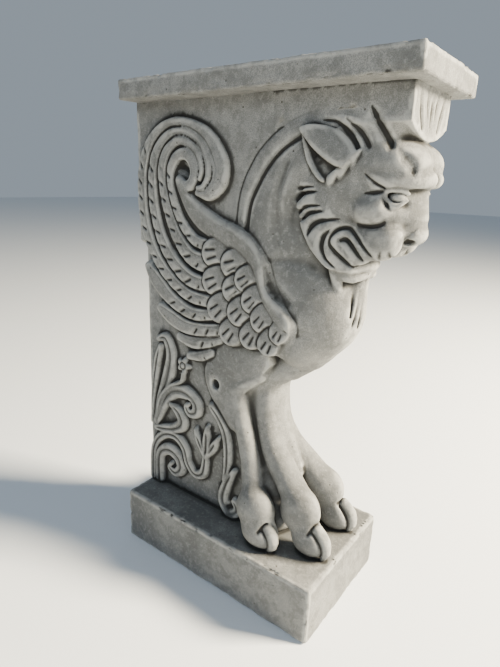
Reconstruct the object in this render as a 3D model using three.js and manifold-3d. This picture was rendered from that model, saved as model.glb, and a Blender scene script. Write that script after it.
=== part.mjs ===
// A cast-stone table pedestal: a winged lion carved on both sides of an upright panel,
// standing between a plinth block and a top slab, all poured as one piece.
// Millimetres, +Z up. The lion faces +X, the casting's flat back is at -X, and the two
// sides mirror each other in the plane y = 0. The origin is the centre of the underside.
import * as THREE from "three";
import { mergeVertices } from "three/addons/utils/BufferGeometryUtils.js";
import Module from "manifold-3d";

const wasm = await Module();
wasm.setup();

// Driving dimensions
const HEIGHT = 720;
const PLINTH_LENGTH = 354;
const PLINTH_WIDTH = 207;
const PLINTH_HEIGHT = 88;
const SLAB_LENGTH = 420;
const SLAB_WIDTH = 179;
const SLAB_THICKNESS = 26;
const BACK = -181;
const CREST_FRONT = 221;
const CREST_BOTTOM = 649;
const UPPER_HALF = 56.5; // half thickness of the panel beside the wing and the neck
const LOWER_HALF = 43; // half thickness of the recessed ground behind the scrollwork
const EDGE = 3; // worn arris of the blocks
const SLAB_UNDERSIDE = HEIGHT - SLAB_THICKNESS;
const BURY = 4; // how far a piece runs into its neighbour, so that the two join

// Facets of the round forms
const BALL_SIDES = 8;
const BALL_RINGS = 6;
const BAR_SIDES = 5;
const RELIEF_SIDES = 4; // a crest, two edges and a buried root
const STEPS_PER_POINT = 1;

// A closed three.js geometry as a solid, turned right side out.
function solid(geometry) {
  const bare = geometry.index ? geometry.toNonIndexed() : geometry.clone();
  bare.deleteAttribute("normal");
  bare.deleteAttribute("uv");
  const merged = mergeVertices(bare, 1e-3);
  const triVerts = new Uint32Array(merged.index.array);
  const vertProperties = new Float32Array(merged.attributes.position.array);
  const make = () => new wasm.Manifold(new wasm.Mesh({ numProp: 3, vertProperties, triVerts }));
  const made = make();
  if (made.volume() > 0) return made;
  for (let i = 0; i < triVerts.length; i += 3) {
    [triVerts[i + 1], triVerts[i + 2]] = [triVerts[i + 2], triVerts[i + 1]];
  }
  return make();
}

// The same geometry on both sides of the panel.
function bothSides(geometry) {
  const mirrored = geometry.clone().applyMatrix4(new THREE.Matrix4().makeScale(1, -1, 1));
  return [solid(geometry), solid(mirrored)];
}

// A squared block with a small chamfer all round, centred on y = 0.
function block(back, front, half, bottom, top, edge = EDGE) {
  const outline = new THREE.Shape();
  outline.moveTo(back + edge, -half + edge);
  outline.lineTo(front - edge, -half + edge);
  outline.lineTo(front - edge, half - edge);
  outline.lineTo(back + edge, half - edge);
  const geometry = new THREE.ExtrudeGeometry(outline, {
    depth: top - bottom - 2 * edge,
    bevelThickness: edge,
    bevelSize: edge,
    bevelSegments: 1,
  });
  return geometry.translate(0, 0, bottom + edge);
}

// A side outline, through [x, z] points, carried across the panel and rounded at both faces.
function plate(points, half, round) {
  const outline = new THREE.Shape(points.map(([x, z]) => new THREE.Vector2(x, z)));
  const geometry = new THREE.ExtrudeGeometry(outline, {
    depth: 2 * (half - round),
    bevelThickness: round,
    bevelSize: round,
    bevelOffset: -round,
    bevelSegments: 1,
  });
  return geometry.translate(0, 0, -(half - round)).rotateX(Math.PI / 2);
}

// A rounded mass at [x, out, z], out being the distance from the middle plane on the -Y side.
function ball([x, out, z], [rx, ry, rz], tilt = 0, sides = BALL_SIDES, rings = BALL_RINGS) {
  const geometry = new THREE.SphereGeometry(1, sides, rings).rotateX(Math.PI / 2);
  return geometry.scale(rx, ry, rz).rotateY(-tilt).translate(x, -out, z);
}

// A curved bar through [x, out, z, half] points: half is its half width across the side
// view, and rise its half thickness towards the viewer. Both ends close in a rounded tip.
function bar(points, rise, steps = Math.round(STEPS_PER_POINT * (points.length - 1)), sides = BAR_SIDES) {
  const route = new THREE.CatmullRomCurve3(points.map(([x, out, z]) => new THREE.Vector3(x, -out, z)));
  const halves = new THREE.SplineCurve(points.map((p, i) => new THREE.Vector2(i, p[3])));
  const geometry = new THREE.CylinderGeometry(1, 1, 1, sides, steps);
  const position = geometry.getAttribute("position");
  const towardsViewer = new THREE.Vector3(0, -1, 0);
  const vertex = new THREE.Vector3();
  for (let i = 0; i < position.count; i += 1) {
    vertex.fromBufferAttribute(position, i);
    const t = THREE.MathUtils.clamp(vertex.y + 0.5, 0, 1);
    const along = route.getTangent(t);
    const out = towardsViewer.clone().addScaledVector(along, -towardsViewer.dot(along)).normalize();
    const across = along.clone().cross(out);
    const half = halves.getPoint(t).y;
    const closing = t === 0 || t === 1 ? 0.55 : 1;
    const place = route.getPoint(t);
    place.addScaledVector(across, vertex.x * half * closing);
    place.addScaledVector(out, vertex.z * Math.min(rise, half * 1.4) * closing);
    position.setXYZ(i, place.x, place.y, place.z);
  }
  return geometry;
}

// A bar of relief drawn on the side of the panel, its crest at the given distance out.
function relief(points, crest, rise) {
  const route = points.map(([x, z, half]) => [x, crest - Math.min(rise, half * 1.4), z, half]);
  return bar(route, rise, Math.round(STEPS_PER_POINT * (points.length - 1)), RELIEF_SIDES);
}

const pieces = [];
const add = (geometry) => pieces.push(solid(geometry));
const addBoth = (geometry) => pieces.push(...bothSides(geometry));

// Plinth, top slab, panel and the crest block over the forehead
add(block(-PLINTH_LENGTH / 2, PLINTH_LENGTH / 2, PLINTH_WIDTH / 2, 0, PLINTH_HEIGHT));
add(block(BACK, BACK + SLAB_LENGTH, SLAB_WIDTH / 2, SLAB_UNDERSIDE, HEIGHT));
const PLINTH_TOP = PLINTH_HEIGHT - BURY;
const SLAB_SEAT = SLAB_UNDERSIDE + BURY;
const WING_SEAT = 425; // the upper thickness of the panel starts here, hidden under the wing
const LOWER_PANEL = [
  [BACK, PLINTH_TOP], [55, PLINTH_TOP], [40, 160], [30, 200], [14, 240], [4, 290], [24, 340], [60, 356],
  [60, WING_SEAT + BURY], [BACK, WING_SEAT + BURY],
];
add(plate(LOWER_PANEL, LOWER_HALF, 1));
add(block(BACK, 70, UPPER_HALF, WING_SEAT, SLAB_SEAT, 1));
add(block(60, CREST_FRONT, UPPER_HALF, CREST_BOTTOM, SLAB_SEAT, 1));
// The tuft that curls over the crest's front face
for (const out of [-30, 0, 30]) {
  const lock = [
    [CREST_FRONT - 8, out, SLAB_UNDERSIDE - 12, 9],
    [CREST_FRONT - 6, out, CREST_BOTTOM + 14, 11],
    [CREST_FRONT - 12, out * 0.8, CREST_BOTTOM - 6, 7],
  ];
  add(bar(lock, 7, 2, RELIEF_SIDES));
}

// Neck and chest, thigh and the front strip of the mane
const NECK_BAND = [
  [12, 520], [9, 560], [25, 605], [55, 640], [100, 664], [120, 666], [110, 480], [60, 470],
];
const NECK = [
  [27, 500], [29, 545], [45, 592], [71, 628], [108, 650], [108, 470], [60, 430],
];
const THIGH = [
  [-34, 384], [-50, 340], [-54, 305], [-44, 277], [-8, 240], [12, 244], [14, 292], [44, 330], [84, 366],
  [70, 405], [0, 405],
];
add(plate(NECK_BAND, UPPER_HALF + 2.5, 2.5));
add(plate(NECK, 58, 16));
add(plate(THIGH, 51, 13));
add(ball([86, 0, 440], [80, 61, 76], 0, 10, 7));
add(ball([64, 0, 492], [50, 58, 72], 0, 8, 5));
const BELLY = [[90, 0, 420, 46], [94, 0, 388, 37], [86, 0, 368, 27], [58, 0, 348, 26]];
add(bar(BELLY, 44));
const MANE_STRIP = [
  [160, 0, 505, 12], [153, 0, 455, 15], [140, 0, 410, 15], [114, 0, 380, 12], [88, 0, 355, 9],
];
add(bar(MANE_STRIP, 20));

// Leg bones and toes. The outer toe of each side is set back, the inner one leads.
const OUTER_BONE = [
  [-2, 36, 310, 14], [17, 40, 243, 14], [33, 43, 199, 15], [46, 52, 162, 18], [58, 61, 138, 21],
];
const INNER_BONE = [
  [34, 10, 335, 22], [37, 12, 280, 20], [58, 20, 217, 19], [90, 28, 184, 20], [116, 34, 152, 22],
];
const SHANK = [[2, 0, 325, 36], [6, 0, 270, 31], [22, 0, 215, 32], [52, 0, 165, 40], [66, 0, 120, 40]];
add(bar(SHANK, 38));
add(ball([66, 0, 118], [53, 60, 35]));
addBoth(bar(OUTER_BONE, 17));
addBoth(bar(INNER_BONE, 22));
addBoth(ball([65, 67, 120], [31, 22, 37], -0.3));
addBoth(ball([129, 37, 124], [29, 20, 40], -0.5));
const claw = (x, out, reach) => [
  [x - reach, out, 134, 7], [x - 2, out, 118, 9], [x + 3, out, 98, 8], [x, out, PLINTH_TOP, 3],
];
addBoth(bar(claw(91, 73, 6), 9));
addBoth(bar(claw(161, 40, 11), 9));

// Wing: long feathers as [x, z, half width], with the upper four rolled into the volute
const VOLUTE_FEATHERS = [
  [[-38, 431, 10], [-78, 435, 11], [-115, 456, 11], [-146, 488, 11], [-166, 540, 11], [-166, 600, 10],
    [-140, 651, 7], [-98, 667, 6], [-50, 652, 9], [-18, 614, 12], [-20, 590, 10], [-38, 579, 5]],
  [[-40, 454, 11], [-76, 459, 13], [-108, 481, 12], [-133, 517, 11], [-146, 575, 10], [-137, 626, 8],
    [-105, 653, 7], [-66, 649, 6], [-39, 622, 6], [-33, 600, 5]],
  [[-42, 484, 15], [-71, 490, 14], [-96, 513, 12], [-117, 552, 10], [-127, 600, 9], [-112, 633, 8],
    [-82, 643, 7], [-55, 625, 7], [-45, 598, 5]],
  [[-42, 509, 8], [-66, 515, 8], [-91, 539, 8], [-108, 580, 7], [-104, 615, 8], [-80, 626, 9],
    [-61, 607, 10], [-70, 587, 9], [-86, 594, 7]],
];
const SHORT_FEATHERS = [
  [[-32, 413, 9], [-71, 408, 11], [-111, 421, 13], [-144, 446, 14], [-160, 464, 9]],
  [[-11, 396, 9], [-46, 387, 11], [-86, 384, 13], [-116, 393, 13], [-136, 403, 8]],
  [[-24, 376, 8], [-51, 366, 10], [-77, 361, 10], [-99, 364, 8]],
  [[-41, 352, 8], [-62, 342, 9], [-85, 337, 7]],
];
const FEATHER_RISE = 9;
VOLUTE_FEATHERS.forEach((feather) => addBoth(relief(feather, 64, FEATHER_RISE)));
SHORT_FEATHERS.forEach((feather, i) => addBoth(relief(feather, 62 - 4 * i, FEATHER_RISE + 6)));
addBoth(ball([-84, 56, 601], [9, 11, 9]));

// Coverts: rows of scallops, each row standing a little prouder than the one behind it
const COVERT_ROWS = [
  [[-29, 500], [-28, 462], [-19, 425], [3, 395]],
  [[6, 489], [8, 456], [17, 426], [38, 397]],
  [[27, 472], [39, 446], [55, 423], [67, 391]],
  [[84, 410]],
];
const COVERT = 20;
COVERT_ROWS.forEach((row, r) =>
  row.forEach(([x, z]) => {
    addBoth(ball([x, 55 + r, z], [COVERT, 9 + r, COVERT], 0, 6, 4));
  }),
);
const WING_ARM = [
  [92, 56, 421, 11], [76, 57, 439, 11], [57, 56, 466, 12], [45, 55, 496, 14], [18, 54, 518, 16],
  [-24, 53, 532, 16], [-58, 53, 549, 14], [-87, 52, 578, 9],
];
addBoth(bar(WING_ARM, 13));

// Scrollwork of the lower panel as [x, z, half width]
const SCROLLWORK = {
  tallLeaf: [[-162, 203, 5], [-149, 245, 9], [-131, 290, 11], [-125, 330, 9], [-137, 355, 7], [-151, 351, 4]],
  upperScroll: [[-160, 202, 6], [-147, 238, 9], [-124, 266, 10], [-97, 274, 10], [-73, 262, 11],
    [-72, 246, 10], [-85, 241, 8], [-91, 250, 6]],
  crescent: [[-124, 243, 4], [-107, 231, 8], [-103, 214, 8], [-124, 200, 6], [-156, 191, 5]],
  wave: [[-170, 112, 7], [-166, 155, 6], [-147, 181, 6], [-117, 190, 6], [-97, 174, 6], [-89, 150, 6],
    [-73, 134, 6], [-56, 144, 6], [-51, 172, 6]],
  lowerSpiral: [[-158, 100, 8], [-156, 142, 7], [-134, 160, 8], [-113, 150, 9], [-107, 132, 8],
    [-119, 120, 7], [-132, 126, 5]],
  strap: [[-36, 258, 6], [-15, 238, 7], [-5, 205, 7], [-7, 170, 6], [-13, 150, 4]],
  heelVolute: [[7, 158, 5], [-10, 132, 7], [-13, 108, 8], [1, 97, 8], [14, 106, 7], [8, 118, 5]],
};
const SCROLL_CREST = LOWER_HALF + 10;
for (const points of Object.values(SCROLLWORK)) addBoth(relief(points, SCROLL_CREST, 12));
// The rosette and the tulip's three petals
addBoth(ball([-101, LOWER_HALF, 316], [13, 8, 13], 0, 6, 4));
for (const lean of [-1, 0, 1]) {
  addBoth(ball([-50 + 12 * lean, LOWER_HALF, 203], [6, 8, 17], -0.35 * lean, 5, 4));
}

// Head: skull, forehead, brows, cheeks, muzzle and jaw
add(ball([148, 0, 596], [68, 59, 72]));
add(ball([186, 0, 578], [40, 50, 52]));
add(ball([191, 0, 618], [43, 58, 31]));
add(ball([150, 0, 501], [29, 38, 18]));
addBoth(ball([208, 28, 603], [25, 27, 12], 0.05));
addBoth(ball([182, 37, 569], [26, 20, 19], 0.1));
addBoth(ball([203, 20, 537], [27, 23, 25]));
addBoth(ball([206, 33, 583], [10, 10, 7], 0, 5, 3));
const NOSE = [[209, 0, 604, 18], [209, 0, 580, 20], [211, 0, 556, 22], [208, 0, 534, 19]];
add(bar(NOSE, 16));
// Ear, the curl at the corner of the jaw and the locks that frame the cheek
addBoth(bar([[162, 50, 620, 13], [138, 57, 629, 16], [114, 60, 643, 11], [101, 62, 652, 5]], 11));
addBoth(ball([160, 36, 530], [30, 15, 23], -0.6));
const LOCKS = [
  [[140, 602, 10], [114, 600, 9], [98, 591, 5]],
  [[140, 584, 10], [111, 581, 10], [95, 569, 5]],
  [[140, 567, 10], [112, 561, 10], [98, 546, 5]],
  [[140, 552, 10], [118, 542, 10], [110, 523, 6]],
  [[143, 540, 9], [125, 526, 10], [129, 508, 9], [147, 496, 5]],
];
LOCKS.forEach((lock, i) => addBoth(relief(lock, 64 - 4 * Math.max(0, i - 2), 16)));
addBoth(bar([[142, 38, 508, 9], [143, 33, 486, 8], [143, 27, 464, 4]], 9));

// The casting is solid right through, so the pockets shut in behind the relief are filled:
// of the closed surfaces of the joined forms only the outer one is kept.
// The back is struck off flat.
const behind = solid(block(BACK - 60, BACK, PLINTH_WIDTH, -EDGE, HEIGHT + EDGE, 1));
const surfaces = wasm.Manifold.union(pieces).subtract(behind).decompose();
const outer = surfaces.reduce((kept, next) => (next.volume() > kept.volume() ? next : kept));
const casting = outer.getMesh();
const vertices = new Float32Array(casting.numVert * 3);
for (let i = 0; i < casting.numVert; i += 1) {
  vertices.set(casting.vertProperties.subarray(i * casting.numProp, i * casting.numProp + 3), i * 3);
}
const geometry = new THREE.BufferGeometry();
geometry.setAttribute("position", new THREE.BufferAttribute(vertices, 3));
geometry.setIndex(new THREE.BufferAttribute(new Uint32Array(casting.triVerts), 1));
geometry.computeVertexNormals();

const castStone = new THREE.MeshStandardMaterial({ color: 0x9d9c95, roughness: 0.9, metalness: 0 });
const pedestal = new THREE.Mesh(geometry, castStone);
pedestal.name = "winged_lion_pedestal";
const part = new THREE.Group();
part.add(pedestal);

export default part;
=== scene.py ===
"""Winged lion pedestal in weathered cast stone, as a small add-on that is also run as a script."""

import math

import bmesh
import bpy
import numpy as np
import openvdb
from mathutils import Matrix, Vector, noise


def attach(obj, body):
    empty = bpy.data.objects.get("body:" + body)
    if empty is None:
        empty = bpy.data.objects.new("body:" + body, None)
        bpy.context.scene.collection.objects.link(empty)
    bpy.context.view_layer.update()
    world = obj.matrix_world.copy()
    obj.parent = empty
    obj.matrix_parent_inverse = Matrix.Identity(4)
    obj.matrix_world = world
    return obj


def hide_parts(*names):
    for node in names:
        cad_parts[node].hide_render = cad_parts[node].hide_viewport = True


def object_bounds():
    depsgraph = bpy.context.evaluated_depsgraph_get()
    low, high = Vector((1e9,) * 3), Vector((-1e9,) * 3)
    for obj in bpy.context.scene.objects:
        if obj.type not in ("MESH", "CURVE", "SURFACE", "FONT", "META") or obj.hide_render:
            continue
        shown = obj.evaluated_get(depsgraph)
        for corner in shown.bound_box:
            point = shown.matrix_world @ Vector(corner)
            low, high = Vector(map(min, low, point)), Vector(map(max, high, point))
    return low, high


bl_info = {
    "name": "Winged Lion Pedestal",
    "version": (1, 0, 0),
    "blender": (4, 5, 0),
    "location": "View3D > Sidebar > Pedestal",
    "description": "Carves a cast-stone winged lion pedestal and sets it on a plain studio stage",
    "category": "Object",
}

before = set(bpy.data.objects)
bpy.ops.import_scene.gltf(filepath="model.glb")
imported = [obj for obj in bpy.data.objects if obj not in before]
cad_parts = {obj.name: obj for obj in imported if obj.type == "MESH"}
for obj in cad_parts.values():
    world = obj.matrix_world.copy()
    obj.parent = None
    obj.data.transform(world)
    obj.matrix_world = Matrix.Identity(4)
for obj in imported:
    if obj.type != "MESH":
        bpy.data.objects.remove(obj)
CAD_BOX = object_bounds()
BACK, FRONT = CAD_BOX[0][0], CAD_BOX[1][0]
WIDTH = CAD_BOX[1][1] - CAD_BOX[0][1]
HEIGHT = CAD_BOX[1][2]

MM = 0.001
NODE = "winged_lion_pedestal"

# Finish of the meshes in metres: longest edges, and noise as [size, depth]
BODY_EDGE = 0.0105
BLOCK_EDGE = 0.006
BODY_ROUGHNESS = ((0.030, 0.0006), (0.009, 0.0003))
BLOCK_ROUGHNESS = ((0.045, 0.0008), (0.010, 0.0004))
CHIP_DEPTH = 0.004
PLINTH_ROUND = 0.004
SLAB_ROUND = 0.003

# How far about a point each hollow is measured and the greatest depth that counts, in millimetres,
# and how many cells are mirrored past the middle plane before the blur
HOLLOW_REACH = {"slit": 2.5, "hollow": 4.5, "recess": 18.0}
DEEPEST = 12
MIRROR_CELLS = 20

# The carving is drawn in millimetres. Places are [x, out, z]: x is the way the lion faces,
# out is the distance from the middle plane, and z is up. The two sides mirror each other.

# Wing feathers as [x, z, half width]. The upper four roll into the volute.
VOLUTE_FEATHERS = [
    [(-38, 431, 10), (-78, 435, 11), (-115, 456, 11), (-145, 487, 11), (-164, 527, 11), (-169, 572, 10.5),
     (-165, 612, 10), (-146, 647, 8), (-112, 666, 6.5), (-76, 664, 7), (-41, 647, 10), (-19, 617, 13),
     (-19, 592, 12), (-37, 576, 9), (-57, 577, 5)],
    [(-40, 454, 11), (-76, 459, 13), (-108, 481, 12), (-131, 513, 11), (-144, 551, 10), (-147, 591, 9.5),
     (-139, 627, 8.5), (-116, 650, 7), (-88, 655, 6), (-59, 645, 6.5), (-39, 622, 7), (-35, 601, 6.5),
     (-45, 586, 5), (-57, 584, 3)],
    [(-42, 484, 15), (-71, 490, 14), (-96, 513, 12), (-114, 546, 10), (-125, 581, 9), (-127, 606, 9),
     (-117, 630, 8), (-96, 643, 7), (-76, 640, 7), (-57, 627, 7), (-48, 608, 6), (-52, 594, 3)],
    [(-42, 509, 9), (-66, 515, 9), (-91, 539, 8), (-106, 571, 7), (-111, 600, 7), (-101, 621, 8),
     (-84, 627, 9), (-68, 619, 10), (-62, 603, 10), (-68, 590, 9), (-80, 585, 8), (-91, 592, 5)],
]
SHORT_FEATHERS = [
    [(-32, 413, 9), (-71, 408, 11), (-111, 421, 13), (-144, 446, 15), (-163, 466, 9)],
    [(-11, 396, 9), (-46, 387, 11), (-86, 384, 13), (-118, 393, 14), (-141, 404, 9)],
    [(-24, 376, 8), (-51, 366, 10), (-77, 361, 11), (-103, 364, 8)],
    [(-41, 352, 8), (-62, 342, 9), (-85, 337, 7)],
]
# Coverts as [x, z, radius], one row in front of the other
COVERT_ROWS = [
    [(-29, 500, 22), (-28, 462, 22), (-19, 425, 22), (3, 395, 21)],
    [(6, 489, 22), (8, 456, 21), (17, 426, 21), (38, 397, 20)],
    [(27, 472, 19), (39, 446, 19), (55, 423, 19), (67, 391, 19)],
    [(84, 410, 16)],
]
NOTCH_PITCH = 22
WING_ARM = [(91, 422, 12), (76, 438, 11), (61, 457, 11), (52, 477, 12), (45, 495, 14), (30, 511, 16),
            (6, 523, 17), (-24, 532, 17), (-52, 545, 17), (-72, 560, 14), (-87, 578, 10), (-96, 592, 7)]

# Scrollwork of the lower panel as [x, z, half width]
SCROLLWORK = {
    "tall leaf": [(-164, 203, 5), (-151, 245, 11), (-134, 290, 14), (-127, 328, 12), (-137, 353, 9),
                  (-153, 350, 6)],
    "leaf blade": [(-171, 200, 5), (-166, 262, 7), (-158, 312, 8), (-149, 338, 6)],
    "flower stem": [(-161, 212, 4), (-149, 252, 4), (-127, 276, 4), (-104, 289, 4), (-99, 304, 4)],
    "upper scroll": [(-162, 202, 8), (-148, 238, 13), (-125, 265, 14), (-98, 272, 14), (-75, 261, 13),
                     (-73, 246, 11), (-85, 240, 9), (-92, 249, 7), (-86, 256, 4)],
    "crescent": [(-127, 243, 5), (-108, 231, 11), (-104, 214, 12), (-125, 199, 10), (-162, 190, 7)],
    "wave": [(-173, 92, 9), (-169, 150, 9), (-148, 180, 9), (-118, 188, 9), (-98, 174, 9), (-90, 150, 9),
             (-74, 135, 9), (-57, 144, 9), (-51, 176, 7)],
    "lower spiral": [(-158, 92, 11), (-156, 140, 11), (-135, 157, 12), (-113, 150, 12), (-107, 132, 11),
                     (-119, 119, 9), (-132, 124, 7), (-129, 133, 4)],
    "strap": [(-40, 266, 7), (-17, 240, 9), (-8, 207, 9), (-8, 172, 8), (-13, 150, 5)],
    "heel volute": [(6, 172, 5), (-9, 142, 10), (-15, 114, 12), (-1, 95, 12), (14, 106, 9), (8, 119, 7)],
    "tulip left": [(-54, 178, 5), (-66, 198, 8), (-73, 217, 3)],
    "tulip right": [(-48, 178, 5), (-36, 198, 8), (-27, 216, 3)],
    "tulip middle": [(-51, 176, 6), (-50, 202, 10), (-49, 229, 3)],
}
ROSETTE = (-101, 316)

# Arcs that bound the neck and the flutes on it, as [x, z]
OUTER_ARC = [(5, 530), (7, 565), (14, 592), (27, 616), (41, 634), (66, 654), (92, 666), (120, 672)]
INNER_ARC = [(21, 526), (26, 565), (38, 591), (51, 611), (70, 630), (96, 645), (120, 652)]
FLUTES = [[(82, 622), (73, 599), (66, 574), (66, 550), (72, 527), (88, 510)],
          [(85, 575), (83, 545), (90, 520)]]

# Where the block of the crest over the forehead begins and ends along x
CREST_BACK = 60
CREST_FRONT = 221

# Outline of the hair on the neck, from the ear down to the jaw, and of the ear, as [x, z]
HAIR_EDGE = [(118, 622), (106, 606), (97, 590), (92, 575), (95, 559), (100, 545), (106, 533), (115, 520),
             (129, 507), (146, 494)]
EAR_OUTLINE = [(98, 653), (107, 656), (122, 656), (138, 652), (151, 645), (162, 635), (165, 626), (158, 616),
               (148, 606), (138, 599), (127, 597), (115, 608), (106, 622), (101, 638)]
EAR_RIDGE = [(97, 654), (108, 642), (120, 631), (133, 622), (146, 615), (160, 611)]
EAR_BACK_RIM = [(97, 653), (102, 637), (107, 622), (116, 609), (127, 598)]

# Leg bones, strip of mane, claws and the web between the bones as [x, out, z, radius]
OUTER_BONE = [(-2, 36, 310, 14), (3, 39, 291, 14), (17, 40, 243, 14), (33, 43, 199, 15), (46, 52, 162, 18),
              (58, 61, 142, 21)]
INNER_BONE = [(34, 8, 335, 22), (36, 12, 290, 20), (41, 14, 255, 19), (58, 20, 217, 19), (90, 28, 184, 20),
              (114, 34, 158, 22)]
SHANK = [(2, 0, 325, 36), (6, 0, 270, 30), (22, 0, 215, 31), (52, 0, 165, 40)]
MANE_STRIP = [(160, 0, 505, 12), (154, 0, 470, 14), (152, 0, 438, 14), (140, 0, 410, 14), (114, 0, 380, 12),
              (88, 0, 355, 9)]
CLAWS = [[(87, 72, 124, 8), (96, 73, 114, 8.5), (97, 73, 100, 7), (89, 73, 87, 3)],
         [(149, 40, 132, 8), (161, 40, 120, 8.5), (165, 40, 104, 7), (159, 40, 87, 3)]]
INNER_WEB = [(34, 0, 335, 22), (38, 0, 290, 21), (46, 0, 255, 19), (62, 0, 220, 18), (82, 0, 192, 13),
             (92, 0, 172, 4)]

# Outline of the thigh as [x, z], and how far forward the panel reaches at each height as [z, x]
THIGH_OUTLINE = [(-26, 384), (-42, 352), (-56, 324), (-52, 294), (-32, 266), (-8, 240), (12, 244), (14, 296),
                 (44, 334), (66, 380)]
LEG_FRONT = [(88, 55), (160, 40), (200, 30), (240, 14), (290, 4), (340, 24), (356, 52), (372, 70), (384, 84),
             (396, 94), (410, 112), (470, 125)]


def smooth_step(value, start, end):
    """0 before start, 1 after end, and a smooth rise between them."""
    t = np.clip((value - start) / (end - start), 0.0, 1.0)
    return t * t * (3.0 - 2.0 * t)


def trace(points, step):
    """A smooth route through the points, sampled about every step; further columns are carried along."""
    points = np.array(points, dtype=np.float64)
    last = len(points) - 1
    runs = []
    for i in range(last):
        p0, p1, p2, p3 = points[max(i - 1, 0)], points[i], points[i + 1], points[min(i + 2, last)]
        count = max(2, int(np.linalg.norm((p2 - p1)[:2]) / step) + 1)
        t = np.linspace(0.0, 1.0, count, endpoint=False)[:, None]
        runs.append(0.5 * (2 * p1 + (p2 - p0) * t + (2 * p0 - 5 * p1 + 4 * p2 - p3) * t**2
                           + (3 * p1 - p0 - 3 * p2 + p3) * t**3))
    runs.append(points[-1:])
    return np.concatenate(runs)


class ReliefMap:
    """Heights over a drawing plane, painted with strokes and discs."""

    def __init__(self, across, up, fill=0.0):
        self.a = across
        self.b = up
        self.h = np.full((len(across), len(up)), fill, dtype=np.float32)
        self.step = float(across[1] - across[0])

    def window(self, low, high):
        """The part of the map between two corners, and its coordinates."""
        cut = tuple(
            slice(max(0, int(np.searchsorted(axis, lo))), max(1, int(np.searchsorted(axis, hi))))
            for axis, lo, hi in zip((self.a, self.b), low, high)
        )
        return cut, self.a[cut[0]][:, None], self.b[cut[1]][None, :]

    def near(self, points, reach):
        """For the cells about a stroke: offset to its left, distance, length run and carried columns."""
        route = trace(points, 2.0 * self.step)
        spots = route[:, :2]
        along = np.gradient(spots, axis=0)
        along /= np.linalg.norm(along, axis=1)[:, None] + 1e-9
        run = np.concatenate([[0.0], np.cumsum(np.linalg.norm(np.diff(spots, axis=0), axis=1))])
        cut, a, b = self.window(spots.min(0) - reach, spots.max(0) + reach)
        best = np.full((a.shape[0], b.shape[1]), 1e9, dtype=np.float32)
        index = np.zeros(best.shape, dtype=np.int32)
        for i, (pa, pb) in enumerate(spots):
            distance = (a - pa) ** 2 + (b - pb) ** 2
            closer = distance < best
            best = np.where(closer, distance, best)
            index[closer] = i
        off_a = a - spots[index, 0]
        off_b = b - spots[index, 1]
        left = along[index, 0] * off_b - along[index, 1] * off_a
        ahead = along[index, 0] * off_a + along[index, 1] * off_b
        past = ((index == 0) & (ahead < 0)) | ((index == len(spots) - 1) & (ahead > 0))
        distance = np.where(past, np.sqrt(best), np.abs(left))
        left = np.where(past, np.sign(left) * distance, left)
        return cut, left, distance, run[index] + ahead, route[index, 2:], run[-1]

    def offset(self, points, cut):
        """Signed offset to the left of a stroke, over a window."""
        route = trace(points, 2.0 * self.step)
        along = np.gradient(route, axis=0)
        along /= np.linalg.norm(along, axis=1)[:, None] + 1e-9
        a, b = self.a[cut[0]][:, None], self.b[cut[1]][None, :]
        index = np.argmin([(a - pa) ** 2 + (b - pb) ** 2 for pa, pb in route], axis=0)
        off_a, off_b = a - route[index, 0], b - route[index, 1]
        left = along[index, 0] * off_b - along[index, 1] * off_a
        return np.sign(left) * np.hypot(off_a, off_b)

    def raise_to(self, cut, height, inside):
        """Lifts the map to a height where that is higher."""
        self.h[cut] = np.where(inside, np.maximum(self.h[cut], height), self.h[cut])

    def carve(self, points, width, depth, taper=True):
        """A rounded groove along a stroke, running out at both ends; a third column scales its width."""
        cut, _, distance, run, carried, length = self.near(points, 3.0 * width)
        share = np.maximum(carried[..., 0], 0.05) if carried.shape[-1] else 1.0
        strength = np.exp(-((distance / (width * share)) ** 2)) * share
        if taper:
            strength = strength * smooth_step(np.minimum(run, length - run), -2.0 * width, 2.0 * width)
        self.h[cut] -= (depth * strength).astype(np.float32)

    def soften(self, times):
        """Rounds off every step a little."""
        for _ in range(times):
            for axis in (0, 1):
                before, after = np.roll(self.h, 1, axis), np.roll(self.h, -1, axis)
                self.h = (0.25 * before + 0.5 * self.h + 0.25 * after).astype(np.float32)

    def ease_cliffs(self, low, high):
        """Turns drops that are much deeper than the carving into slopes."""
        sharp = self.h
        self.soften(10)
        self.h = sharp + (self.h - sharp) * smooth_step(np.abs(self.h - sharp), low, high)

    def swell(self, points, width, height):
        """The opposite of a groove."""
        self.carve(points, width, -height)


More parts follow.
